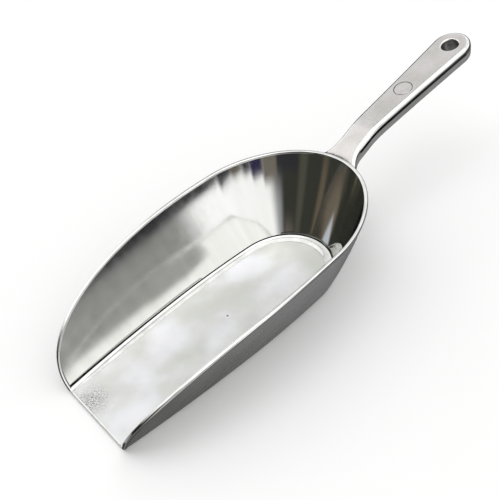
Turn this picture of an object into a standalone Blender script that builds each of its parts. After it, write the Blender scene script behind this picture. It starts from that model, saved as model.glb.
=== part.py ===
"""Cast aluminium ice scoop: a flat D-shaped floor, flared walls, a rounded rim and a solid handle.

Metres, +Z up. The scoop rests on Z = 0 with its pouring lip toward -Y and its handle toward +Y.
Lengths along the scoop are measured from the lip, and place() moves them onto the centred frame.
"""

import math

import bmesh
import bpy
from mathutils import Vector

MM = 0.001
GAP = 0.3 * MM

# Overall
LENGTH = 330 * MM
SHELL = 2.0 * MM

# Floor outline, on the crease where the floor turns up into the wall
LIP_HALF = 29.8 * MM
BACK_HALF = 33.8 * MM
BELLY = 2.4 * MM
BEND = 11 * MM
BEND_FROM = 0.6
SIDE_LENGTH = 148.5 * MM
BACK_DEPTH = 31.2 * MM
BACK_TURN = math.radians(4.9)

# Band that joins the floor to the wall
BAND_LIP = 2.7 * MM
BAND_BACK = 4.6 * MM
BAND_GROWTH = 40 * MM
BAND_RISE = 1.0 * MM

# Wall: height of the rim above the floor, and how far the wall leans out for each unit of height
WALL_HEIGHT = 50 * MM
SWEEP_POWER = 2.4
FLARE_SIDE = 0.525
FLARE_BACK = 0.62
WALL_BOW = 1.2 * MM

# Rim
RIM_RADIUS = 1.2 * MM
RIM_START = 2.0 * MM

# Handle
ROOT_HALF = 20.9 * MM
ROOT_START = 208 * MM
ROOT_LENGTH = 14 * MM
ROOT_BURIED = 10 * MM
ROOT_THINNING = 0.3
CORNER_THINNING = 0.5
CORNER_SINK = 1.6 * MM
NECK_HALF = 9.3 * MM
GRIP_START = 232 * MM
TIP_RADIUS = 13.2 * MM
TIP_CENTRE = LENGTH - TIP_RADIUS
GRIP_SLOPE = 0.149
GRIP_TOP_AT_LIP = 26.0 * MM
GRIP_SWELL = 1.3
ROOT_DIP = 7.2 * MM
DIP_START = 211 * MM
DIP_LENGTH = 32 * MM
HANDLE_DEPTH = 9.5 * MM
SHOULDER = 2.4 * MM
LOWER_EDGE = 1.4 * MM

# Solids that cut the handle reach this far past it
CUT_ABOVE = 2 * MM
CUT_BELOW = 3 * MM
BOWL_CUT_LEVELS = -10 * MM, 90 * MM

# Hanging hole and blank round mark
HOLE_CENTRE = 316.5 * MM
HOLE_RADIUS = 5.6 * MM
HOLE_CHAMFER = 0.9 * MM
MARK_CENTRE = 271 * MM
MARK_RADIUS = 5.8 * MM
MARK_DEPTH = 0.8 * MM

SIDE_STEPS = 26
BACK_STEPS = 22


def clear_scene():
    for thing in list(bpy.data.objects):
        bpy.data.objects.remove(thing)


def new_collection(name):
    collection = bpy.data.collections.new(name)
    bpy.context.scene.collection.children.link(collection)
    return collection


def metal(name, colour, roughness):
    material = bpy.data.materials.new(name)
    material.use_nodes = True
    shader = material.node_tree.nodes["Principled BSDF"]
    shader.inputs["Base Color"].default_value = (*colour, 1.0)
    shader.inputs["Metallic"].default_value = 1.0
    shader.inputs["Roughness"].default_value = roughness
    return material


def place(x, along, z):
    """A point of the scoop, with its length measured from the lip."""
    return Vector((x, along - LENGTH / 2, z))


def add_object(name, data, collection, material):
    thing = bpy.data.objects.new(name, data)
    data.materials.append(material)
    collection.objects.link(thing)
    return thing


def smooth(thing, angle=40):
    thing.data.shade_smooth()
    thing.data.set_sharp_from_angle(angle=math.radians(angle))


class Station:
    """One cross-section of the bowl: a point on the floor crease, its outward normal and its lean."""

    def __init__(self, x, along, normal, flare, top):
        self.x, self.along, self.normal = x, along, normal
        self.flare, self.top = flare, top
        self.tilt = math.atan(flare)

    def mirrored(self):
        normal = (-self.normal[0], self.normal[1])
        return Station(-self.x, self.along, normal, self.flare, self.top)

    def at(self, outward, height):
        """The point that far outward of the crease and that far above the floor's upper face."""
        x = self.x + self.normal[0] * outward
        along = self.along + self.normal[1] * outward
        return place(x, along, SHELL + height)

    def wall(self, height, depth=0.0):
        """The point on the wall's inner face at this height, moved outward through its thickness."""
        rise = min(max(height / WALL_HEIGHT, 0.0), 1.0)
        outward = self.flare * height + WALL_BOW * 4 * rise * (1 - rise)
        return outward + depth * math.cos(self.tilt), height - depth * math.sin(self.tilt)

    def slope(self, height):
        """How far the wall's inner face leans out for each unit of height, at this height."""
        return self.flare + WALL_BOW * 4 * (1 - 2 * height / WALL_HEIGHT) / WALL_HEIGHT

    def band_width(self):
        growth = min(self.along / BAND_GROWTH, 1.0)
        return BAND_LIP + (BAND_BACK - BAND_LIP) * math.sin(growth * math.pi / 2)


def side_station(along, top):
    """The sides bulge a little all the way along, and bend in more as they near the back."""
    part = along / SIDE_LENGTH
    bend = max(part - BEND_FROM, 0.0)
    spread = BACK_HALF - LIP_HALF + BEND * (1 - BEND_FROM) ** 2
    half = LIP_HALF + spread * part + BELLY * 4 * part * (1 - part) - BEND * bend**2
    slope = (spread + BELLY * 4 * (1 - 2 * part) - BEND * 2 * bend) / SIDE_LENGTH
    normal = Vector((1.0, max(-slope, 0.0))).normalized()
    return Station(half, along, normal, FLARE_SIDE, top)


def back_station(part, top):
    """The back is an ellipse that takes over a little way round, where it narrows like the sides."""
    angle = BACK_TURN + (math.pi / 2 - BACK_TURN) * part
    sine, cosine = math.sin(angle), math.cos(angle)
    half = BACK_HALF / math.cos(BACK_TURN)
    depth = BACK_DEPTH / (1 - math.sin(BACK_TURN))
    along = SIDE_LENGTH + BACK_DEPTH - depth * (1 - sine)
    normal = Vector((cosine * depth, sine * half)).normalized()
    flare = FLARE_SIDE + (FLARE_BACK - FLARE_SIDE) * sine**4
    return Station(half * cosine, along, normal, flare, top)


def stations(inset, lowest=0.0):
    """Sections from lip to lip. Along each side the top edge sweeps up from the lip as a quarter
    of a superellipse, drawn in from the rim by inset, and starts lowest above the floor."""
    reach, height = SIDE_LENGTH - inset, WALL_HEIGHT - inset
    power = 2 / SWEEP_POWER
    first = math.asin((lowest / height) ** (1 / power))
    half = []
    for step in range(SIDE_STEPS + 1):
        turn = first + (math.pi / 2 - first) * step / SIDE_STEPS
        along = inset + reach * (1 - abs(math.cos(turn)) ** power)
        half.append(side_station(along, height * math.sin(turn) ** power))
    for step in range(1, BACK_STEPS + 1):
        half.append(back_station(step / BACK_STEPS, height))
    return half + [station.mirrored() for station in reversed(half[:-1])]


def bezier(start, control, end, steps):
    """Points of a quadratic curve between two points of a cross-section, both ends included."""
    points = []
    for step in range(steps + 1):
        t = step / steps
        weights = (1 - t) ** 2, 2 * t * (1 - t), t**2
        points.append(
            tuple(sum(w * p[axis] for w, p in zip(weights, (start, control, end))) for axis in (0, 1))
        )
    return points


def loft(name, rings):
    """A closed solid through rings with the same number of points."""
    bm = bmesh.new()
    rows = [[bm.verts.new(point) for point in ring] for ring in rings]
    count = len(rows[0])
    for low, high in zip(rows, rows[1:]):
        for index in range(count):
            after = (index + 1) % count
            bm.faces.new((low[index], low[after], high[after], high[index]))
    bm.faces.new(rows[0])
    bm.faces.new(list(reversed(rows[-1])))
    bmesh.ops.recalc_face_normals(bm, faces=bm.faces[:])
    mesh = bpy.data.meshes.new(name)
    bm.to_mesh(mesh)
    bm.free()
    return mesh


def build_floor(collection, material):
    """Flat D-shaped plate with a straight pouring lip and a half-round back."""
    outline = [station.at(-station.band_width() - GAP, 0.0) for station in stations(0.0)]
    curve = bpy.data.curves.new("bowl_floor", "CURVE")
    curve.dimensions = "2D"
    curve.fill_mode = "BOTH"
    curve.extrude = SHELL / 2
    spline = curve.splines.new("POLY")
    spline.points.add(len(outline) - 1)
    for point, corner in zip(spline.points, outline):
        point.co = (corner.x, corner.y, 0.0, 1.0)
    spline.use_cyclic_u = True
    floor = add_object("bowl_floor", curve, collection, material)
    floor.location.z = SHELL / 2


def build_band(collection, material):
    """Curved band that turns the floor up into the wall, with a rounded outer corner."""
    rings = []
    for station in stations(0.0):
        width = station.band_width()
        inner_top = station.wall(BAND_RISE)
        outer_top = station.wall(BAND_RISE, SHELL)
        foot = outer_top[0] - station.slope(BAND_RISE) * (outer_top[1] + SHELL)
        section = bezier((-width, 0.0), (-width * 0.1, 0.0), inner_top, 5)
        section += bezier(outer_top, (foot, -SHELL), (-width, -SHELL), 6)
        rings.append([station.at(*point) for point in section])
    band = add_object("corner_band", loft("corner_band", rings), collection, material)
    smooth(band)


def build_wall(collection, material):
    """Flared wall round both sides and the back."""
    rings = []
    foot = BAND_RISE + GAP
    levels = (0.0, 0.25, 0.5, 0.75, 1.0)
    for station in stations(2 * RIM_RADIUS + GAP, lowest=foot + GAP):
        heights = [foot + (station.top - foot) * level for level in levels]
        inner = [station.wall(height) for height in heights]
        outer = [station.wall(height, SHELL) for height in reversed(heights)]
        rings.append([station.at(*point) for point in inner + outer])
    wall = add_object("bowl_wall", loft("bowl_wall", rings), collection, material)
    smooth(wall)


def build_rim(collection, material):
    """Rounded bead along the top edge of the wall, from one lip corner to the other."""
    path = stations(RIM_RADIUS, lowest=RIM_START)
    curve = bpy.data.curves.new("rim_bead", "CURVE")
    curve.dimensions = "3D"
    curve.bevel_depth = RIM_RADIUS
    curve.bevel_resolution = 3
    curve.use_fill_caps = True
    spline = curve.splines.new("POLY")
    spline.points.add(len(path) - 1)
    for point, station in zip(spline.points, path):
        centre = station.at(*station.wall(station.top, RIM_RADIUS))
        point.co = (*centre, 1.0)
    add_object("rim_bead", curve, collection, material)


def fade(along, start, length):
    """1 up to start, falling evenly to 0 over the length after it."""
    return min(max(1 - (along - start) / length, 0.0), 1.0)


def handle_half(along):
    """Half width of the handle: it flares out at the root and widens slowly toward the tip."""
    root = 1 - math.sqrt(1 - fade(along, ROOT_START, ROOT_LENGTH) ** 2)
    grip = 1 - fade(along, GRIP_START, TIP_CENTRE - GRIP_START)
    return NECK_HALF + (ROOT_HALF - NECK_HALF) * root + (TIP_RADIUS - NECK_HALF) * grip**GRIP_SWELL


def handle_top(along):
    """Height of the handle's upper face: a straight slope that dips to the rim at the root."""
    slope = SHELL + GRIP_TOP_AT_LIP + GRIP_SLOPE * along
    return slope - ROOT_DIP * fade(along, DIP_START, DIP_LENGTH) ** 2


def handle_point(x, along, depth):
    """A point of the handle at this depth below its upper face. The root gets thinner, most of all
    toward its flared corners, which sink into the rim."""
    root = fade(along, ROOT_START, ROOT_LENGTH)
    flare = root * max(abs(x) - NECK_HALF, 0.0) / (ROOT_HALF - NECK_HALF)
    thin = 1 - ROOT_THINNING * root - CORNER_THINNING * flare
    return place(x, along, handle_top(along) - CORNER_SINK * flare - depth * thin)


def handle_side(inset):
    """(x, along) down one side of the handle and round to the middle of its tip."""
    start = ROOT_START - ROOT_BURIED
    root = [start, ROOT_START] + [ROOT_START + ROOT_LENGTH * (step / 10) ** 2 for step in range(1, 11)]
    grip = [GRIP_START + (TIP_CENTRE - GRIP_START) * step / 8 for step in range(8)]
    side = [(handle_half(along) - inset, along) for along in root + grip]
    radius = TIP_RADIUS - inset
    for step in range(13):
        angle = math.pi / 2 * step / 12
        side.append((radius * math.cos(angle), TIP_CENTRE + radius * math.sin(angle)))
    return side


def handle_levels():
    """(inset, depth) pairs down the handle's edge: round shoulder, side and rounded lower edge."""
    levels = []
    for step in range(7):
        angle = math.pi / 2 * step / 6
        levels.append((SHOULDER * (1 - math.sin(angle)), SHOULDER * (1 - math.cos(angle))))
    for step in range(4):
        angle = math.pi / 2 * step / 3
        depth = HANDLE_DEPTH - LOWER_EDGE * (1 - math.sin(angle))
        levels.append((LOWER_EDGE * (1 - math.cos(angle)), depth))
    return levels


def handle_mesh():
    """Rings stacked down the edge, closed above and below by rungs between the two sides."""
    bm = bmesh.new()
    rows = []
    for inset, depth in handle_levels():
        side = handle_side(inset)
        right = [bm.verts.new(handle_point(x, along, depth)) for x, along in side]
        left = [bm.verts.new(handle_point(-x, along, depth)) for x, along in side[:-1]]
        rows.append((right, left + [right[-1]]))
    for right, left in (rows[0], rows[-1]):
        for index in range(len(right) - 2):
            bm.faces.new((right[index], right[index + 1], left[index + 1], left[index]))
        bm.faces.new((right[-2], right[-1], left[-2]))
    for (right, left), (right_below, left_below) in zip(rows, rows[1:]):
        for index in range(len(right) - 1):
            bm.faces.new((right[index], right[index + 1], right_below[index + 1], right_below[index]))
            bm.faces.new((left[index], left[index + 1], left_below[index + 1], left_below[index]))
        bm.faces.new((right[0], left[0], left_below[0], right_below[0]))
    bmesh.ops.recalc_face_normals(bm, faces=bm.faces[:])
    mesh = bpy.data.meshes.new("handle")
    bm.to_mesh(mesh)
    bm.free()
    return mesh


def bowl_clearance():
    """Solid that fills the bowl and stands one gap outside its wall and rim."""
    path = stations(0.0)
    depth = 2 * RIM_RADIUS + GAP
    rings = []
    below, above = BOWL_CUT_LEVELS
    for height in [below] + [WALL_HEIGHT * step / 4 for step in range(5)] + [above]:
        rings.append([station.at(*station.wall(height, depth)) for station in path])
    return loft("bowl_clearance", rings)


def tilted_tool(name, profile, along, collection):
    """Cutter or disc turned about an axis square to the handle's upper face, its profile listed
    as (radius, height above that face) from top to bottom."""
    mesh = bpy.data.meshes.new(name)
    mesh.from_pydata([(radius, 0.0, height) for radius, height in profile],
                     [(index, index + 1) for index in range(len(profile) - 1)], [])
    tool = bpy.data.objects.new(name, mesh)
    collection.objects.link(tool)
    screw = tool.modifiers.new("turn", "SCREW")
    screw.steps = screw.render_steps = 48
    screw.use_merge_vertices = True
    screw.merge_threshold = 0.00001
    tool.location = place(0.0, along, handle_top(along))
    tool.rotation_euler.x = math.atan(GRIP_SLOPE)
    return tool


def as_cutter(tool):
    tool.hide_render = True
    tool.display_type = "WIRE"


def cut(thing, tool, name):
    modifier = thing.modifiers.new(name, "BOOLEAN")
    modifier.operation = "DIFFERENCE"
    modifier.solver = "EXACT"
    modifier.object = tool


def build_handle(collection, cutters, material):
    """Solid handle with a flared root, a hanging hole and a shallow seat for the round mark."""
    handle = add_object("handle", handle_mesh(), collection, material)
    bowl = bpy.data.objects.new("bowl_clearance", bowl_clearance())
    cutters.objects.link(bowl)
    as_cutter(bowl)
    chamfer = HOLE_RADIUS + HOLE_CHAMFER
    below = -HANDLE_DEPTH - CUT_BELOW
    hole_profile = [
        (0.0, CUT_ABOVE), (chamfer, CUT_ABOVE), (chamfer, 0.0),
        (HOLE_RADIUS, -HOLE_CHAMFER), (HOLE_RADIUS, below), (0.0, below),
    ]
    hole = tilted_tool("hole_cutter", hole_profile, HOLE_CENTRE, cutters)
    as_cutter(hole)
    seat_radius = MARK_RADIUS + GAP
    seat_depth = -MARK_DEPTH - GAP
    seat_profile = [
        (0.0, CUT_ABOVE), (seat_radius, CUT_ABOVE), (seat_radius, seat_depth), (0.0, seat_depth),
    ]
    seat = tilted_tool("mark_seat", seat_profile, MARK_CENTRE, cutters)
    as_cutter(seat)
    cut(handle, bowl, "root")
    cut(handle, hole, "hanging_hole")
    cut(handle, seat, "mark_seat")
    smooth(handle)


def build_mark(collection, material):
    """Blank round disc set flush in the handle."""
    edge = 0.2 * MM
    profile = [
        (0.0, 0.0), (MARK_RADIUS - edge, 0.0), (MARK_RADIUS, -edge),
        (MARK_RADIUS, -MARK_DEPTH), (0.0, -MARK_DEPTH),
    ]
    mark = tilted_tool("handle_mark", profile, MARK_CENTRE, collection)
    mark.data.materials.append(material)


def build():
    clear_scene()
    scoop = new_collection("ice_scoop")
    cutters = new_collection("cutters")
    polished = metal("polished_aluminium", (0.80, 0.80, 0.78), 0.15)
    satin = metal("satin_aluminium", (0.86, 0.86, 0.85), 0.35)
    grip = metal("brushed_aluminium", (0.84, 0.82, 0.81), 0.30)
    build_floor(scoop, satin)
    build_band(scoop, polished)
    build_wall(scoop, polished)
    build_rim(scoop, polished)
    build_handle(scoop, cutters, grip)
    build_mark(scoop, grip)


build()
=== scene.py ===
"""Looks of the cast aluminium ice scoop: fine meshes for its six parts, cast and polished finishes,
a pale floor and a soft studio with a dark horizon, which is what polished metal needs to read."""

import math

import bmesh
import bpy
from mathutils import Matrix, Vector


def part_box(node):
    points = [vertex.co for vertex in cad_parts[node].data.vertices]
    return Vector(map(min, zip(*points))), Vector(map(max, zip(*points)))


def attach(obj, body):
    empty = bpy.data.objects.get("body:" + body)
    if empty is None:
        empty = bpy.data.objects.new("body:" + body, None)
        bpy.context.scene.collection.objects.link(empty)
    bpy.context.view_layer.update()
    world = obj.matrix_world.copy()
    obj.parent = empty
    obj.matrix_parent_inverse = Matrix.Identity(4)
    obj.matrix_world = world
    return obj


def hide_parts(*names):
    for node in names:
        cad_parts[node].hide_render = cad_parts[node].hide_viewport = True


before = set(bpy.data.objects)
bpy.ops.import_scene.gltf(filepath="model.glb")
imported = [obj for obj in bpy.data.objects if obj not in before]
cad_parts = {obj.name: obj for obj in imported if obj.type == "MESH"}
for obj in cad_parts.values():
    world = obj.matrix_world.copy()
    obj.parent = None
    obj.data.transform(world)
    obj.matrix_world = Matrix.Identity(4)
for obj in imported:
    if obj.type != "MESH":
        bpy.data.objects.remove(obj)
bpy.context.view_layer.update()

MM = 0.001

# Places and main sizes, read from the frame
FLOOR_LOW, FLOOR_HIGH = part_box("bowl_floor")
_, HANDLE_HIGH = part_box("handle")
_, RIM_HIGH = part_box("rim_bead")
MARK_LOW, MARK_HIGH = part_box("handle_mark")
LIP = FLOOR_LOW.y
SHELL = FLOOR_HIGH.z
LENGTH = HANDLE_HIGH.y - LIP
MARK_CENTRE = (MARK_LOW.y + MARK_HIGH.y) / 2 - LIP
MARK_RADIUS = (MARK_HIGH.x - MARK_LOW.x) / 2

# Bowl, as in the part's own source. Lengths along the scoop start at the lip.
LIP_HALF = 29.8 * MM
BACK_HALF = 33.8 * MM
BELLY = 2.4 * MM
BEND = 11 * MM
BEND_FROM = 0.6
SIDE_LENGTH = 148.5 * MM
BACK_DEPTH = 31.2 * MM
BACK_TURN = math.radians(4.9)
BAND_LIP = 2.7 * MM
BAND_BACK = 4.6 * MM
BAND_GROWTH = 40 * MM
BAND_RISE = 1.0 * MM
SWEEP_POWER = 2.4
FLARE_SIDE = 0.525
FLARE_BACK = 0.62
WALL_BOW = 1.2 * MM
RIM_RADIUS = 1.2 * MM
WALL_HEIGHT = RIM_HIGH.z - SHELL + RIM_RADIUS * math.sin(math.atan(FLARE_SIDE))

# Handle
ROOT_HALF = 20.9 * MM
ROOT_START = 208 * MM
ROOT_LENGTH = 14 * MM
ROOT_THINNING = 0.3
CORNER_THINNING = 0.5
CORNER_SINK = 1.6 * MM
ROOT_BURIED = 10 * MM
NECK_HALF = 9.3 * MM
GRIP_START = 232 * MM
GRIP_SWELL = 1.3
TIP_RADIUS = 13.2 * MM
TIP_CENTRE = LENGTH - TIP_RADIUS
GRIP_SLOPE = 0.149
GRIP_TOP_AT_LIP = 26.0 * MM
ROOT_DIP = 7.2 * MM
DIP_START = 211 * MM
DIP_LENGTH = 32 * MM
HANDLE_DEPTH = 9.5 * MM
HOLE_CENTRE = 316.5 * MM
HOLE_RADIUS = 5.6 * MM

# Detail that only the looks need. The lip is rounded to the nose above and to the chin below.
NOSE = 1.1 * MM
CHIN = 0.35 * MM
BAND_STEP = 0.16 * MM
BAND_TURN = 0.1    # how near its outer edge the band turns up, as part of its width
GROOVE_DEPTH = 0.6 * MM
GROOVE_LIP = 1.3 * MM
GROOVE_BACK = 0.75 * MM
GROOVE_TAPER = 110 * MM
WALL_INSET = 0.8 * RIM_RADIUS
WALL_LOWEST = 0.05 * MM
WALL_CROWDING = 1.2    # above 1, the wall's rows crowd toward its foot
WALL_TOE = (0.6 * BAND_RISE, 0.96 * SHELL)    # height and depth of the wall's lowest corner
RIM_PROUD = 0.25 * MM
RIM_SQUARENESS = 0.72
# The undercuts take painted shade, and the inner side a darker tone that is painted shade too
RIM_UNDERCUTS = ((190, 228), (320, 345))    # degrees round the rim's section, 90 at its top
RIM_INNER_SIDE = (145, 200)
NEARLY_LEVEL = 0.2

# Edges of the handle, its hanging hole and its mark
SHOULDER = 2.7 * MM
SHOULDER_DROP = 2.5 * MM
PARTING_DEPTH = 4.1 * MM
PARTING_BEVEL = 0.3 * MM
UPPER_DRAFT = 0.14 * MM
DRAFT = 0.35 * MM
LOWER_EDGE = 1.5 * MM
HANDLE_SHARP = 30    # degrees
HOLE_CHAMFER = 1.0 * MM
SEAT_GAP = 0.4 * MM
MARK_EDGE = 0.35 * MM
MARK_EDGE_TOP = 0.08 * MM
MARK_CROWN = 0.12 * MM
MARK_THICKNESS = 0.8 * MM

# How far the tools that cut the bowl and the holes reach past the pieces
BOWL_TOOL = (-10 * MM, 90 * MM)
HOLE_TOOL = (2 * MM, -1.2 * HANDLE_DEPTH)

# How finely the meshes are divided
SIDE_STEPS = 120
BACK_STEPS = 90
FLOOR_COLUMNS = 40
LEDGE_STEPS = 4
BAND_TOP_STEPS = 14
BAND_UNDER_STEPS = 16
WALL_STEPS = 20
RIM_STEPS = 28
ROOT_STEPS = 40
GRIP_STEPS = 44
TIP_STEPS = 40
SHOULDER_STEPS = 12
EDGE_STEPS = 6
TURNED_STEPS = 96
BOWL_TOOL_STEPS = 8
WELD = 0.002 * MM

# Camera
AZIMUTH, ELEVATION, ROLL = 62.22, 41.61, -17.82
TARGET = Vector((-0.0054, -0.0320, 0.030))
DISTANCE = 0.5238
LENS = 61.3


# --- cross-sections of the bowl --------------------------------------------------------------

def place(x, along, z):
    """A point of the scoop, with its length measured from the lip."""
    return Vector((x, along + LIP, z))


class Station:
    """One cross-section of the bowl: a point on the floor crease, its outward normal and its lean."""

    def __init__(self, x, along, normal, flare, top):
        self.x, self.along, self.normal = x, along, normal
        self.flare, self.top = flare, top
        self.tilt = math.atan(flare)

    def mirrored(self):
        normal = (-self.normal[0], self.normal[1])
        return Station(-self.x, self.along, normal, self.flare, self.top)

    def at(self, outward, height):
        """The point that far outward of the crease and that far above the floor's upper face."""
        x = self.x + self.normal[0] * outward
        along = self.along + self.normal[1] * outward
        return place(x, along, SHELL + height)

    def wall(self, height, depth=0.0):
        """The point on the wall's inner face at this height, moved outward through its thickness."""
        rise = min(max(height / WALL_HEIGHT, 0.0), 1.0)
        outward = self.flare * height + WALL_BOW * 4 * rise * (1 - rise)
        return outward + depth * math.cos(self.tilt), height - depth * math.sin(self.tilt)

    def slope(self, height):
        """How far the wall's inner face leans out for each unit of height, at this height."""
        return self.flare + WALL_BOW * 4 * (1 - 2 * height / WALL_HEIGHT) / WALL_HEIGHT

    def band_width(self):
        growth = min(self.along / BAND_GROWTH, 1.0)
        return BAND_LIP + (BAND_BACK - BAND_LIP) * math.sin(growth * math.pi / 2)

    def groove_width(self):
        return GROOVE_BACK + (GROOVE_LIP - GROOVE_BACK) * fade(self.along, 0.0, GROOVE_TAPER)


def fade(along, start, length):
    """1 up to start, falling evenly to 0 over the length after it."""
    return min(max(1 - (along - start) / length, 0.0), 1.0)


def side_station(along, top):
    """The sides bulge a little all the way along, and bend in more as they near the back."""
    part = along / SIDE_LENGTH
    bend = max(part - BEND_FROM, 0.0)
    spread = BACK_HALF - LIP_HALF + BEND * (1 - BEND_FROM) ** 2
    half = LIP_HALF + spread * part + BELLY * 4 * part * (1 - part) - BEND * bend**2
    slope = (spread + BELLY * 4 * (1 - 2 * part) - BEND * 2 * bend) / SIDE_LENGTH
    normal = Vector((1.0, max(-slope, 0.0))).normalized()
    return Station(half, along, normal, FLARE_SIDE, top)


def back_station(part, top):
    """The back is an ellipse that takes over a little way round, where it narrows like the sides."""
    angle = BACK_TURN + (math.pi / 2 - BACK_TURN) * part
    sine, cosine = math.sin(angle), math.cos(angle)
    half = BACK_HALF / math.cos(BACK_TURN)
    depth = BACK_DEPTH / (1 - math.sin(BACK_TURN))
    along = SIDE_LENGTH + BACK_DEPTH - depth * (1 - sine)
    normal = Vector((cosine * depth, sine * half)).normalized()
    flare = FLARE_SIDE + (FLARE_BACK - FLARE_SIDE) * sine**4
    return Station(half * cosine, along, normal, flare, top)


def half_stations(inset, lowest=0.0):
    """Sections from the right lip corner to the middle of the back. Along the side the top edge
    sweeps up from the lip as a quarter of a superellipse, inset from the rim's outline."""
    reach, height = SIDE_LENGTH - inset, WALL_HEIGHT - inset
    power = 2 / SWEEP_POWER
    first = math.asin((lowest / height) ** (1 / power))
    half = []
    for step in range(SIDE_STEPS + 1):
        turn = first + (math.pi / 2 - first) * step / SIDE_STEPS
        along = inset + reach * (1 - abs(math.cos(turn)) ** power)
        half.append(side_station(along, height * math.sin(turn) ** power))
    for step in range(1, BACK_STEPS + 1):
        half.append(back_station(step / BACK_STEPS, height))
    return half


def stations(inset, lowest=0.0):
    """Sections from lip corner to lip corner, round the back."""
    half = half_stations(inset, lowest)
    return half + [station.mirrored() for station in reversed(half[:-1])]


def rounding(along, radius):
    """How far a rounded edge of this radius falls away at this distance from the lip."""
    near = max(radius - along, 0.0)
    return radius - math.sqrt(radius**2 - near**2)


def bezier(start, control, end, steps):
    """Points of a quadratic curve between two points of a cross-section, both ends included."""
    points = []
    for step in range(steps + 1):
        t = step / steps
        weights = (1 - t) ** 2, 2 * t * (1 - t), t**2
        points.append(tuple(sum(w * p[axis] for w, p in zip(weights, (start, control, end)))
                            for axis in (0, 1)))
    return points


def arc(centre, radii, first, last, steps):
    """(across, up) points of part of an ellipse, angles in degrees."""
    points = []
    for step in range(steps + 1):
        angle = math.radians(first + (last - first) * step / steps)
        points.append((centre[0] + radii[0] * math.cos(angle), centre[1] + radii[1] * math.sin(angle)))
    return points


# --- mesh helpers ----------------------------------------------------------------------------

def finish_mesh(name, bm, sharp=35.0, grain=None):
    """Turns a bmesh into a smooth-shaded piece with sharp edges past the given angle. The grain
    gives each vertex its place along and across the surface, in metres, for streaks and brushing."""
    if grain:
        layer = bm.loops.layers.uv.new("grain")
        for face in bm.faces:
            for loop in face.loops:
                loop[layer].uv = grain[loop.vert]
    bmesh.ops.remove_doubles(bm, verts=bm.verts[:], dist=WELD)
    bmesh.ops.recalc_face_normals(bm, faces=bm.faces[:])
    mesh = bpy.data.meshes.new(name)
    bm.to_mesh(mesh)
    bm.free()
    piece = bpy.data.objects.new(name, mesh)
    bpy.context.scene.collection.objects.link(piece)
    shade(piece, sharp)
    return piece


def shade(piece, sharp):
    piece.data.shade_smooth()
    piece.data.set_sharp_from_angle(angle=math.radians(sharp))


def add_rows(bm, rows, closed=False, material=0):
    """Quads between neighbouring rows of vertices, each row open or closed into a ring. The
    material is a slot's number, or a function of the place in the row."""
    for low, high in zip(rows, rows[1:]):
        count = len(low)
        for index in range(count if closed else count - 1):
            after = (index + 1) % count
            face = bm.faces.new((low[index], low[after], high[after], high[index]))
            face.material_index = material(index) if callable(material) else material


def loft(name, rings, material=0, sharp=35.0):
    """A closed solid through rings with the same number of points, grained along the rings' path
    and round each ring."""
    bm = bmesh.new()
    grain = {}
    rows = []
    travel = 0.0
    for index, ring in enumerate(rings):
        row = [bm.verts.new(point) for point in ring]
        if index:
            travel += (ring[0] - rings[index - 1][0]).length
        girth = 0.0
        for spot, vertex in enumerate(row):
            if spot:
                girth += (ring[spot] - ring[spot - 1]).length
            grain[vertex] = (travel, girth)
        rows.append(row)
    add_rows(bm, rows, closed=True, material=material)
    bm.faces.new(rows[0])
    bm.faces.new(list(reversed(rows[-1])))
    return finish_mesh(name, bm, sharp, grain)


# --- pieces ----------------------------------------------------------------------------------

def build_floor():
    """Flat plate, rounded along its pouring lip."""
    bm = bmesh.new()
    rows_up, rows_down = [], []
    for station in half_stations(0.0):
        edge = station.at(-station.band_width(), -rounding(station.along, NOSE))
        spots = [edge.x * (1 - 2 * column / FLOOR_COLUMNS) for column in range(FLOOR_COLUMNS + 1)]
        under = rounding(station.along, CHIN)
        rows_up.append([bm.verts.new((x, edge.y, edge.z)) for x in spots])
        rows_down.append([bm.verts.new((x, edge.y, under)) for x in spots])
    nose = next(index for index, row in enumerate(rows_up) if row[0].co.y - LIP > NOSE)
    add_rows(bm, rows_up[:nose + 1], material=1)
    add_rows(bm, rows_up[nose:])
    add_rows(bm, rows_down)
    for side in (0, -1):
        add_rows(bm, [[row[side] for row in rows_up], [row[side] for row in rows_down]])
    add_rows(bm, [rows_up[0], rows_down[0]], material=1)
    return finish_mesh("floor_plate", bm)


def band_sections(station):
    """The corner band's upper and lower outline at one station. The upper one steps up from the
    floor, curves up to the wall and ends at the bottom of the crease groove."""
    width = station.band_width()
    ledge = BAND_STEP * min(station.along / NOSE, 1.0)
    inner_top = station.wall(BAND_RISE)
    outer_top = station.wall(BAND_RISE, SHELL)
    foot = outer_top[0] - station.slope(BAND_RISE) * (outer_top[1] + SHELL)
    upper = arc((-width + ledge, 0.0), (ledge, ledge), 180, 90, LEDGE_STEPS)
    turn = (-width * BAND_TURN, ledge)
    upper += bezier((-width + ledge, ledge), turn, inner_top, BAND_TOP_STEPS)[1:]
    upper.append(station.wall(BAND_RISE, GROOVE_DEPTH))
    lower = bezier(outer_top, (foot, -SHELL), (-width, -SHELL), BAND_UNDER_STEPS)
    return upper, lower


def build_band():
    """Curved band that turns the floor up into the wall, with painted shade in its step and its
    groove.
    """
    rings = []
    for station in stations(0.0):
        nose, chin = rounding(station.along, NOSE), rounding(station.along, CHIN)
        upper, lower = band_sections(station)
        ring = [station.at(outward, height - nose) for outward, height in upper]
        ring += [station.at(outward, height + chin) for outward, height in lower]
        rings.append(ring)
    # The step and the groove faces take the painted-shade material
    dark = (1, len(upper) - 2, len(upper) - 1)
    return loft("corner_radius", rings, material=lambda index: int(index in dark))


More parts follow.
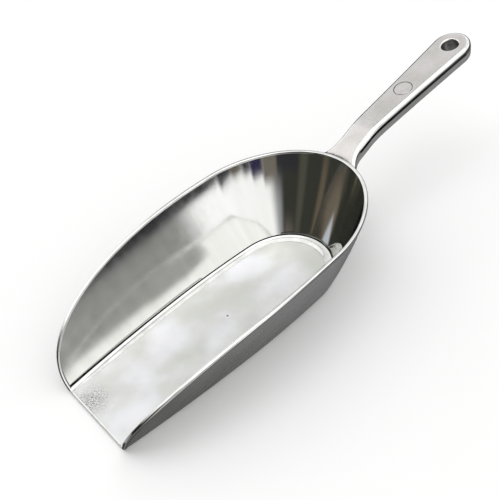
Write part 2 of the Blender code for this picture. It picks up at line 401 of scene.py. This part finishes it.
def build_wall():
    """Flared wall round both sides and the back, down to the crease groove."""
    rings = []
    shares = [(step / WALL_STEPS) ** WALL_CROWDING for step in range(WALL_STEPS + 1)]
    for station in stations(WALL_INSET, lowest=BAND_RISE + GROOVE_LIP + WALL_LOWEST):
        foot = BAND_RISE + station.groove_width()
        heights = [foot + (station.top - foot) * share for share in shares]
        ring = [station.wall(height) for height in heights]
        ring += [station.wall(height, SHELL) for height in reversed(heights)]
        ring += [station.wall(*WALL_TOE), station.wall(BAND_RISE, GROOVE_DEPTH)]
        rings.append([station.at(*point) for point in ring])
    # Faces from the wall's lowest corner into the crease groove take painted shade
    outer, groove = WALL_STEPS + 1, 2 * WALL_STEPS + 2
    return loft("side_wall", rings, material=lambda index: (index >= outer) + (index >= groove))


def rim_section(turn):
    """Rounded-square cross-section of the rim: (across, up) in units of its radius."""
    across, up = math.cos(turn), math.sin(turn)
    return tuple(math.copysign(abs(part) ** RIM_SQUARENESS, part) for part in (across, up))


def rim_finish(turn):
    """Slot of a face of the rim: bright, but painted shade in the undercuts beside the wall and a
    greyer tone on the side toward the bowl, which is painted shade as well."""
    if any(start < turn < end for start, end in RIM_UNDERCUTS):
        return 1
    return 2 if RIM_INNER_SIDE[0] < turn < RIM_INNER_SIDE[1] else 0


def build_rim():
    """Rounded land along the top edge of the wall, running out into both lip corners."""
    path = stations(RIM_RADIUS)
    centres = [station.at(*station.wall(station.top, RIM_RADIUS - RIM_PROUD)) for station in path]
    rings = []
    for index, station in enumerate(path):
        before, after = centres[max(index - 1, 0)], centres[min(index + 1, len(path) - 1)]
        tangent = (after - before).normalized()
        out = Vector((*station.normal, 0.0))
        out = (out - tangent * out.dot(tangent)).normalized()
        up = out.cross(tangent)
        if up.z < 0 or (abs(up.z) < NEARLY_LEVEL and up.y > 0):
            up = -up
        ring = []
        for step in range(RIM_STEPS):
            across, rise = rim_section(2 * math.pi * step / RIM_STEPS)
            ring.append(centres[index] + (out * across + up * rise) * RIM_RADIUS)
        rings.append(ring)
    return loft("rim_land", rings, material=lambda index: rim_finish(360 * index / RIM_STEPS))


def handle_half(along):
    """Half width of the handle: it flares out at the root and widens slowly toward the tip."""
    root = 1 - math.sqrt(1 - fade(along, ROOT_START, ROOT_LENGTH) ** 2)
    grip = 1 - fade(along, GRIP_START, TIP_CENTRE - GRIP_START)
    return NECK_HALF + (ROOT_HALF - NECK_HALF) * root + (TIP_RADIUS - NECK_HALF) * grip**GRIP_SWELL


def handle_top(along):
    """Height of the handle's upper face: a straight slope that dips to the rim at the root."""
    slope = SHELL + GRIP_TOP_AT_LIP + GRIP_SLOPE * along
    return slope - ROOT_DIP * fade(along, DIP_START, DIP_LENGTH) ** 2


def handle_point(x, along, depth):
    """A point of the handle at this depth below its upper face. The root gets thinner, most of all
    toward its flared corners, which sink into the rim."""
    root = fade(along, ROOT_START, ROOT_LENGTH)
    flare = root * max(abs(x) - NECK_HALF, 0.0) / (ROOT_HALF - NECK_HALF)
    thin = 1 - ROOT_THINNING * root - CORNER_THINNING * flare
    return place(x, along, handle_top(along) - CORNER_SINK * flare - depth * thin)


def handle_side(inset):
    """(x, along) down one side of the handle and round to the middle of its tip."""
    spots = [ROOT_START - ROOT_BURIED, ROOT_START - ROOT_BURIED / 2]
    spots += [ROOT_START + ROOT_LENGTH * (step / ROOT_STEPS) ** 2 for step in range(ROOT_STEPS + 1)]
    spots += [GRIP_START + (TIP_CENTRE - GRIP_START) * step / GRIP_STEPS for step in range(GRIP_STEPS)]
    side = [(handle_half(along) - inset, along) for along in spots]
    tip = arc((0.0, TIP_CENTRE), (TIP_RADIUS - inset, TIP_RADIUS - inset), 0, 90, TIP_STEPS)
    return side + tip


def handle_levels():
    """(inset, depth) down the handle's edge: shoulder, upper side, parting line, lower side, edge."""
    radii = (SHOULDER - UPPER_DRAFT, SHOULDER_DROP)
    shoulder = arc((SHOULDER, SHOULDER_DROP), radii, 270, 185, SHOULDER_STEPS)
    edge_top = HANDLE_DEPTH - LOWER_EDGE
    side = [(0.0, PARTING_DEPTH), (DRAFT / 10, PARTING_DEPTH + PARTING_BEVEL), (DRAFT, edge_top)]
    lower = arc((LOWER_EDGE + DRAFT, edge_top), (LOWER_EDGE, LOWER_EDGE), 180, 90, EDGE_STEPS)
    return shoulder + side + lower[1:]


def build_handle_solid():
    """Outlines stacked down the edge, closed above and below by rungs between the two sides."""
    bm = bmesh.new()
    rows = []
    for inset, depth in handle_levels():
        side = handle_side(inset)
        right = [bm.verts.new(handle_point(x, along, depth)) for x, along in side]
        left = [bm.verts.new(handle_point(-x, along, depth)) for x, along in side[:-1]]
        rows.append((right, left + [right[-1]]))
    rights, lefts = [row[0] for row in rows], [row[1] for row in rows]
    add_rows(bm, rights, material=1)
    add_rows(bm, lefts, material=1)
    for right, left in (rows[0], rows[-1]):
        for index in range(len(right) - 2):
            bm.faces.new((right[index], right[index + 1], left[index + 1], left[index]))
        bm.faces.new((right[-2], right[-1], left[-2]))
    for (right, left), (right_below, left_below) in zip(rows, rows[1:]):
        bm.faces.new((right[0], left[0], left_below[0], right_below[0]))
    return finish_mesh("grip", bm, sharp=HANDLE_SHARP)


def turned(name, profile, along, material=0):
    """A solid turned about an axis square to the handle's upper face, its profile listed as
    (radius, height above that face) from the axis at the top to the axis at the bottom."""
    bm = bmesh.new()
    tilt = Matrix.Rotation(math.atan(GRIP_SLOPE), 4, "X")
    to_handle = Matrix.Translation(place(0.0, along, handle_top(along))) @ tilt
    rows = []
    for step in range(TURNED_STEPS):
        angle = 2 * math.pi * step / TURNED_STEPS
        rows.append([bm.verts.new(to_handle @ Vector((r * math.cos(angle), r * math.sin(angle), h)))
                     for r, h in profile])
    add_rows(bm, rows + [rows[0]], material=material)
    return finish_mesh(name, bm)


def bowl_clearance():
    """Solid that fills the bowl and half the thickness of its wall and rim."""
    rings = []
    below, above = BOWL_TOOL
    levels = [WALL_HEIGHT * step / BOWL_TOOL_STEPS for step in range(BOWL_TOOL_STEPS + 1)]
    for height in [below] + levels + [above]:
        rings.append([station.at(*station.wall(height, SHELL / 2)) for station in stations(0.0)])
    return loft("bowl_clearance", rings)


def cut(piece, tool):
    """Cuts the tool's shape from the piece and removes the tool."""
    modifier = piece.modifiers.new("cut", "BOOLEAN")
    modifier.operation = "DIFFERENCE"
    modifier.solver = "EXACT"
    modifier.object = tool
    graph = bpy.context.evaluated_depsgraph_get()
    result = bpy.data.meshes.new_from_object(piece.evaluated_get(graph))
    piece.modifiers.clear()
    piece.data = result
    bpy.data.objects.remove(tool)


def build_handle():
    """Handle with its root inside the wall, a chamfered hanging hole and the seat of the mark."""
    handle = build_handle_solid()
    cut(handle, bowl_clearance())
    above, below = HOLE_TOOL
    edge, mouth = HOLE_CHAMFER, HOLE_RADIUS + HOLE_CHAMFER
    bottom = -HANDLE_DEPTH / math.cos(math.atan(GRIP_SLOPE))
    profile = [(0.0, above), (mouth, above)]
    profile += [(mouth - x, y) for x, y in arc((0.0, -edge), (edge, edge), 90, 0, EDGE_STEPS)]
    bore = len(profile) - 1
    profile += [(HOLE_RADIUS, bottom + edge / 2), (mouth, bottom - edge / 2)]
    profile += [(mouth, below), (0.0, below)]
    # The bore takes the cast skin's dark tone, which is painted shade in the hole
    cut(handle, turned("hole", profile, HOLE_CENTRE, lambda index: 2 if index == bore else 1))
    seat = MARK_RADIUS + SEAT_GAP
    depth = (MARK_HIGH.z - MARK_LOW.z) / 2
    profile = [(0.0, above), (seat, above), (seat, -depth), (0.0, -depth)]
    # The seat's faces take painted shade, a dark ring round the mark
    cut(handle, turned("seat", profile, MARK_CENTRE, material=3))
    shade(handle, HANDLE_SHARP)
    even = handle.modifiers.new("even_faces", "WEIGHTED_NORMAL")
    even.keep_sharp = True
    return handle


def build_mark():
    """Blank round mark with a softly raised face."""
    profile = [(0.0, MARK_CROWN)]
    centre = (MARK_RADIUS - MARK_EDGE, MARK_EDGE_TOP - MARK_EDGE)
    profile += arc(centre, (MARK_EDGE, MARK_EDGE), 90, 0, EDGE_STEPS)
    profile += [(MARK_RADIUS, -MARK_THICKNESS), (0.0, -MARK_THICKNESS)]
    return turned("blank_mark", profile, MARK_CENTRE)


# --- camera, light and floor -----------------------------------------------------------------

def set_camera():
    camera = bpy.data.objects.new("camera", bpy.data.cameras.new("camera"))
    bpy.context.scene.collection.objects.link(camera)
    azimuth, elevation = math.radians(AZIMUTH), math.radians(ELEVATION)
    back = Vector((math.sin(azimuth) * math.cos(elevation),
                   -math.cos(azimuth) * math.cos(elevation), math.sin(elevation)))
    turn = back.to_track_quat("Z", "Y").to_matrix().to_4x4()
    camera.matrix_world = (Matrix.Translation(TARGET + back * DISTANCE) @ turn
                           @ Matrix.Rotation(math.radians(ROLL), 4, "Z"))
    camera.data.lens = LENS
    bpy.context.scene.camera = camera


class Nodes:
    """Small helper that adds nodes to a tree and links them as it goes. An input goes by its name,
    or by i and its number where several share a name."""

    def __init__(self, tree):
        self.tree = tree

    def add(self, kind, settings=None, **inputs):
        node = self.tree.nodes.new("ShaderNode" + kind)
        for name, value in (settings or {}).items():
            setattr(node, name, value)
        for name, value in inputs.items():
            numbered = name[1:].isdigit()
            socket = node.inputs[int(name[1:]) if numbered else name.replace("_", " ")]
            if isinstance(value, bpy.types.NodeSocket):
                self.tree.links.new(value, socket)
            else:
                socket.default_value = value
        return node

    def math(self, operation, *values):
        inputs = {f"i{number}": value for number, value in enumerate(values)}
        return self.add("Math", {"operation": operation}, **inputs).outputs[0]

    def ramp(self, value, start, end, low=0.0, high=1.0):
        """Eases from low to high as the value goes from start to end."""
        node = self.add("MapRange", {"interpolation_type": "SMOOTHSTEP"}, Value=value, From_Min=start,
                        From_Max=end, To_Min=low, To_Max=high)
        return node.outputs[0]

    def mix(self, factor, first, second):
        node = self.add("Mix", {"data_type": "RGBA"}, i0=factor, i6=first, i7=second)
        return node.outputs[2]


# The studio as areas of the surroundings, each laid over the ones before: name, azimuth from and to,
# elevation from and to, softness of the edges in each (degrees; azimuth 0 is +X and 90 is +Y), colour
WHOLE_TURN = (-200, 200)
STUDIO = (
    ("below", WHOLE_TURN, (-110, -46), (1, 8), (0.11, 0.11, 0.105)),
    ("below_right", (14, 124), (-110, -30), (22, 8), (0.27, 0.27, 0.275)),
    ("floor_glow", (-128, 7), (-66, -16), (8, 6), (0.55, 0.55, 0.54)),
    ("floor_glow_low", (-172, -16), (-78, -58), (16, 6), (0.45, 0.45, 0.44)),
    ("far_softbox", (-154, -114), (20, 60), (6, 4), (1.1, 1.1, 1.08)),
    ("left_softbox", (158, 219), (-14, 75), (5, 5), (1.15, 1.15, 1.13)),
    ("low_left_softbox", (-168, -143), (-32, 47), (3, 3), (1.15, 1.15, 1.13)),
    ("lip_card", (-144, -118), (-32, -3), (4, 3), (1.2, 1.2, 1.18)),
    ("front_left_softbox", (-132, -102), (47, 75), (4, 4), (1.3, 1.3, 1.3)),
    ("back_sweep", (66, 178), (12, 66), (8, 5), (1.0, 1.0, 1.0)),
    ("left_edge_flag", (142, 167), (-30, 30), (4, 3), (0.10, 0.10, 0.10)),
    ("window_shade", (-57, 24), (17, 75), (4, 3), (0.36, 0.37, 0.38)),
    ("window", (-47, 78), (11.5, 75), (7, 1.5), (1.2, 1.2, 1.2)),
    ("low_right_softbox", (4, 26), (-44, 20), (9, 5), (1.25, 1.25, 1.25)),
    ("left_wall_card", (14.9, 21), (4, 18), (0.6, 2), (0.30, 0.30, 0.29)),
    ("rim_flag_side", (7, 24), (3, 9.7), (2, 0.4), (0.03, 0.03, 0.035)),
    ("rim_flag", (-12, 8), (3, 11.3), (3, 0.5), (0.03, 0.03, 0.035)),
    ("rim_flag_brown", (-20, -9), (3, 12.4), (3, 0.6), (0.11, 0.095, 0.065)),
    ("rim_flag_middle", (-29, -20), (3, 13.4), (3, 0.6), (0.035, 0.03, 0.035)),
    ("rim_flag_navy", (-40, -28), (3, 14.8), (1.5, 0.8), (0.03, 0.025, 0.07)),
    ("rim_flag_tan", (-54, -39), (3, 16.3), (2, 0.8), (0.19, 0.17, 0.14)),
    ("rim_flag_end", (-76, -53), (3, 15.6), (2, 0.8), (0.035, 0.035, 0.04)),
    ("dark_gap", (25, 44), (-40, -25), (3, 2.5), (0.01, 0.01, 0.01)),
    ("dome", WHOLE_TURN, (60.5, 120), (1, 1), (1.55, 1.55, 1.55)),
    ("overhead", WHOLE_TURN, (78, 120), (1, 4), (1.9, 1.9, 1.9)),
    ("grey_sweep", (132.5, 163), (47, 61.5), (3, 0.9), (0.45, 0.45, 0.435)),
    ("grey_sweep_middle", (141, 163), (58, 63.2), (4, 0.9), (0.48, 0.48, 0.465)),
    ("grey_sweep_end", (148, 161), (58, 64.6), (4, 0.9), (0.54, 0.54, 0.53)),
    ("warm_card", (-80, -62), (30, 42), (5, 5), (0.22, 0.185, 0.14)),
    ("green_streak", (-87, -78), (9, 30), (3, 4), (0.085, 0.085, 0.065)),
    ("brown_streak", (-116, -108), (8, 17), (3, 3), (0.14, 0.115, 0.08)),
    ("warm_glow", (-76, -60), (21.5, 29), (5, 1.5), (0.17, 0.15, 0.13)),
    ("back_lamp", (-80, -64), (38.5, 48), (3, 1.5), (0.75, 0.8, 0.88)),
)
HORIZON = (0.045, 0.045, 0.038)
PALE = (0.97, 0.97, 0.97)
STAGE_REACH = 12.0
STAGE_DROP = 0.1 * MM


def light_scene():
    """The surroundings that light the metal, behind a plain pale backdrop."""
    world = bpy.data.worlds.new("studio")
    bpy.context.scene.world = world
    world.use_nodes = True
    nodes = Nodes(world.node_tree)
    direction = nodes.add("TexCoord").outputs["Generated"]
    axes = nodes.add("SeparateXYZ", Vector=direction).outputs
    azimuth = nodes.math("DEGREES", nodes.math("ARCTAN2", axes["Y"], axes["X"]))
    elevation = nodes.math("DEGREES", nodes.math("ARCSINE", axes["Z"]))
    colour = (*HORIZON, 1.0)
    for _, azimuths, elevations, softness, glow in STUDIO:
        inside = 1.0
        for angle, (start, end), soft in zip((azimuth, elevation), (azimuths, elevations), softness):
            if end - start >= 360:
                continue
            turned_to = nodes.math("SUBTRACT", angle, (start + end) / 2)
            off = nodes.math("ABSOLUTE", nodes.math("WRAP", turned_to, 180.0, -180.0))
            half = (end - start) / 2
            inside = nodes.math("MULTIPLY", nodes.ramp(off, half + soft, half - soft), inside)
        colour = nodes.mix(inside, colour, (*glow, 1.0))
    seen = nodes.add("LightPath").outputs["Is Camera Ray"]
    colour = nodes.mix(seen, colour, (*PALE, 1.0))
    background = world.node_tree.nodes["Background"]
    world.node_tree.links.new(colour, background.inputs["Color"])


def build_stage():
    """Plain pale floor, just below the scoop. The metal reflects the studio instead of it."""
    bm = bmesh.new()
    bmesh.ops.create_grid(bm, x_segments=1, y_segments=1, size=STAGE_REACH)
    stage = finish_mesh("floor_stage", bm)
    material = bpy.data.materials.new("pale_floor")
    material.use_nodes = True
    shader = material.node_tree.nodes["Principled BSDF"]
    shader.inputs["Base Color"].default_value = (*PALE, 1.0)
    shader.inputs["Roughness"].default_value = 0.9
    shader.inputs["Specular IOR Level"].default_value = 0.0
    stage.data.materials.append(material)
    stage.location.z = -STAGE_DROP
    stage.visible_glossy = False


# --- finishes --------------------------------------------------------------------------------

# The two base colours that each finish drifts between
TONES = {
    "satin_floor": ((0.66, 0.67, 0.635), (0.87, 0.87, 0.905)),
    "polished_wall": ((0.735, 0.735, 0.715), (0.775, 0.775, 0.76)),
    "satin_wall": ((0.68, 0.68, 0.66), (0.76, 0.76, 0.76)),
    "polished_edge": ((0.78, 0.78, 0.76), (0.88, 0.88, 0.87)),
    "polished_rim": ((0.78, 0.78, 0.76), (0.88, 0.88, 0.87)),
    "polished_band": ((0.64, 0.64, 0.625), (0.78, 0.78, 0.77)),
    "brushed_grip": ((0.65, 0.63, 0.605), (0.74, 0.715, 0.71)),
    # cast skin's dark tone is painted shade in the hanging hole
    "cast_skin_and_painted_shade": ((0.16, 0.155, 0.15), (0.30, 0.295, 0.29)),
    # crease shadow: near-black painted shade for grooves, undercuts and the mark's ring
    "crease_shadow": ((0.03, 0.03, 0.027), (0.08, 0.08, 0.075)),
}
# Near black, for real stains on the floor and painted dark reflection on the rim by the lip corners
STAIN_AND_PAINTED_DARK = (0.12, 0.12, 0.11)
NOISE_SPREAD = (0.3, 0.7)

# Marks and painted highlights on the floor, each at its x and its distance from the lip
SPECKLED_PATCH = (-13 * MM, 5 * MM)
PIT = (0.9 * MM, 101 * MM)
# The two spots are painted highlights, lightened in colour
PAINTED_HIGHLIGHT_SPOTS = ((-17 * MM, 68 * MM), (-25 * MM, 137 * MM))


class Finish:
    """A material being put together: a metal shader, its colour, roughness and relief. Sizes and
    heights are in metres."""

    def __init__(self, name):
        self.dark, self.light = TONES[name]
        self.material = bpy.data.materials.new(name)
        self.material.use_nodes = True
        self.nodes = Nodes(self.material.node_tree)
        self.shader = self.material.node_tree.nodes["Principled BSDF"]
        self.shader.inputs["Metallic"].default_value = 1.0
        self.place = self.nodes.add("TexCoord").outputs["Object"]
        self.relief = None

    def clouds(self, source, scale, detail):
        stretched = self.nodes.add("Mapping", Vector=source, Scale=scale).outputs[0]
        return self.nodes.add("TexNoise", Vector=stretched, Scale=1.0, Detail=detail).outputs[0]

    def noise(self, size, detail=2.0):
        """Cloudy noise from 0 to 1 with lumps of about this size."""
        return self.clouds(self.place, (1 / size,) * 3, detail)

    def streaks(self, along, across, detail=2.0):
        """Noise with lumps this long along and across the grain of the surface."""
        grain = self.nodes.add("UVMap", {"uv_map": "grain"}).outputs[0]
        return self.clouds(grain, (1 / along, 1 / across, 1.0), detail)

    def distance(self, x, along):
        """How far each point lies from a spot on the floor plate."""
        spot = self.nodes.add("VectorMath", {"operation": "DISTANCE"}, i0=self.place,
                              i1=place(x, along, SHELL))
        return spot.outputs["Value"]

    def along(self, start, end, low=0.0, high=1.0):
        """Eases from low to high between two distances from the lip."""
        axis = self.nodes.add("SeparateXYZ", Vector=self.place).outputs["Y"]
        return self.nodes.ramp(axis, LIP + start, LIP + end, low, high)

    def colour(self, pattern, stain_and_painted_dark=None):
        """Base colour that drifts from dark to light with the pattern, darkened by stains and painted
        dark reflection.
        """
        blend = self.nodes.ramp(pattern, *NOISE_SPREAD)
        mixed = self.nodes.mix(blend, (*self.dark, 1.0), (*self.light, 1.0))
        if stain_and_painted_dark:
            mixed = self.nodes.mix(stain_and_painted_dark, mixed, (*STAIN_AND_PAINTED_DARK, 1.0))
        self.nodes.tree.links.new(mixed, self.shader.inputs["Base Color"])

    def roughness(self, low, high, pattern, wear=None):
        """Roughness that drifts from low to high with the pattern, raised by any wear."""
        value = self.nodes.ramp(pattern, *NOISE_SPREAD, low, high)
        if wear:
            value = self.nodes.math("ADD", wear, value)
        self.nodes.tree.links.new(value, self.shader.inputs["Roughness"])

    def bump(self, pattern, height):
        """Adds relief of this height on top of what is there."""
        node = self.nodes.add("Bump", Height=pattern, Distance=height, Strength=1.0)
        if self.relief:
            self.nodes.tree.links.new(self.relief, node.inputs["Normal"])
        self.relief = node.outputs[0]
        self.nodes.tree.links.new(self.relief, self.shader.inputs["Normal"])


def polished_wall():
    """Bright inner wall: mirror-like, with soft streaks from rim to floor and a fine polishing
    grain, and a little duller toward the lip."""
    finish = Finish("polished_wall")
    finish.colour(finish.streaks(along=7 * MM, across=90 * MM))
    worn_front = finish.along(60 * MM, 160 * MM, low=0.025, high=0.0)
    finish.roughness(0.05, 0.075, finish.noise(7 * MM, detail=3.0), worn_front)
    finish.bump(finish.noise(22 * MM, detail=1.0), 0.006 * MM)
    finish.bump(finish.noise(1.0 * MM, detail=2.0), 0.0028 * MM)
    return finish.material


def satin_wall():
    """Outer wall: finer-ground, with faint lines along the scoop."""
    finish = Finish("satin_wall")
    lines = finish.streaks(along=40 * MM, across=0.5 * MM)
    finish.colour(finish.noise(30 * MM))
    finish.roughness(0.24, 0.32, lines)
    finish.bump(lines, 0.002 * MM)
    return finish.material


def polished_edge(name, painted_dark_ends=0.0):
    """Rim, corner band and handle edges: the smoothest, most handled surfaces. The rim has painted
    dark reflection where it runs out into the lip corners."""
    finish = Finish(name)
    # Painted dark reflection on the rim near the lip corners
    painted_dark = finish.along(10 * MM, 26 * MM, low=painted_dark_ends, high=0.0) if painted_dark_ends else None
    finish.colour(finish.noise(8 * MM), painted_dark)
    finish.roughness(0.05, 0.12, finish.noise(4 * MM))
    finish.bump(finish.noise(6 * MM, detail=1.0), 0.004 * MM)
    return finish.material


def satin_floor():
    """Floor: blasted satin with a mottled cast skin, two painted highlight spots, a speckled patch by
    the lip, one small pit, and a tone that darkens toward the back."""
    finish = Finish("satin_floor")
    nodes = finish.nodes
    patch = nodes.ramp(finish.distance(*SPECKLED_PATCH), 17 * MM, 1 * MM)
    speckle = nodes.ramp(finish.noise(0.7 * MM, detail=4.0), 0.44, 0.62)
    dark = nodes.math("MULTIPLY", nodes.math("MULTIPLY", patch, speckle), 0.9)
    pit = nodes.ramp(finish.distance(*PIT), 0.9 * MM, 0.4 * MM)
    # Darker toward the back
    darker_toward_back = finish.along(125 * MM, 176 * MM, low=0.03, high=0.16)
    mottling = nodes.math("SUBTRACT", finish.noise(38 * MM, detail=4.0), darker_toward_back)
    # Painted highlights: two spots lightened in colour
    for spot in PAINTED_HIGHLIGHT_SPOTS:
        painted_highlight = nodes.ramp(finish.distance(*spot), 24 * MM, 2 * MM, high=0.26)
        mottling = nodes.math("ADD", mottling, painted_highlight)
    finish.colour(mottling, nodes.math("MAXIMUM", dark, pit))
    finish.roughness(0.30, 0.44, finish.noise(14 * MM, detail=3.0))
    finish.bump(finish.noise(1.2 * MM, detail=2.0), 0.012 * MM)
    return finish.material


def brushed_grip():
    """Handle top: fine satin, slightly warm, unevenly worn."""
    finish = Finish("brushed_grip")
    finish.colour(finish.noise(16 * MM, detail=4.0))
    finish.roughness(0.24, 0.36, finish.noise(3 * MM, detail=3.0))
    finish.bump(finish.noise(1.0 * MM, detail=2.0), 0.0035 * MM)
    return finish.material


def cast_skin_and_painted_shade():
    """Inside of the hanging hole: rough as cast and never polished; its dark tone is painted shade."""
    finish = Finish("cast_skin_and_painted_shade")
    finish.colour(finish.noise(2.5 * MM, detail=3.0))
    finish.roughness(0.35, 0.55, finish.noise(2 * MM))
    finish.bump(finish.noise(1.0 * MM, detail=2.0), 0.03 * MM)
    return finish.material


def crease_shadow():
    """Painted shade at the bottom of the narrow grooves, in the rim's undercuts and round the mark."""
    finish = Finish("crease_shadow")
    finish.colour(finish.noise(3 * MM))
    finish.roughness(0.5, 0.7, finish.noise(2 * MM))
    return finish.material


def make_looks():
    """The materials of each piece, in the order of its slots."""
    edge, band = polished_edge("polished_edge"), polished_edge("polished_band")
    rim = polished_edge("polished_rim", painted_dark_ends=0.85)
    groove, grip = crease_shadow(), brushed_grip()
    return {
        "bowl_floor": (satin_floor(), edge),
        "corner_band": (band, groove),
        "bowl_wall": (polished_wall(), satin_wall(), groove),
        # Rim undercuts take painted shade; its side toward the bowl takes the band's darker tone as
        # painted shade
        "rim_bead": (rim, groove, band),
        "handle": (grip, edge, cast_skin_and_painted_shade(), groove),
        "handle_mark": (grip,),
    }


# How each piece is built, the part's node it stands for, and that node's finish
PIECES = (
    (build_floor, "bowl_floor", "satin_aluminium"),
    (build_band, "corner_band", "polished_aluminium"),
    (build_wall, "bowl_wall", "polished_aluminium"),
    (build_rim, "rim_bead", "polished_aluminium"),
    (build_handle, "handle", "brushed_aluminium"),
    (build_mark, "handle_mark", "brushed_aluminium"),
)

set_camera()
light_scene()
build_stage()
bpy.context.scene.view_settings.view_transform = "Standard"
looks = make_looks()
for make, node, finish in PIECES:
    piece = make()
    for look in looks[node]:
        piece.data.materials.append(look)
    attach(piece, "root")
    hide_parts(node)
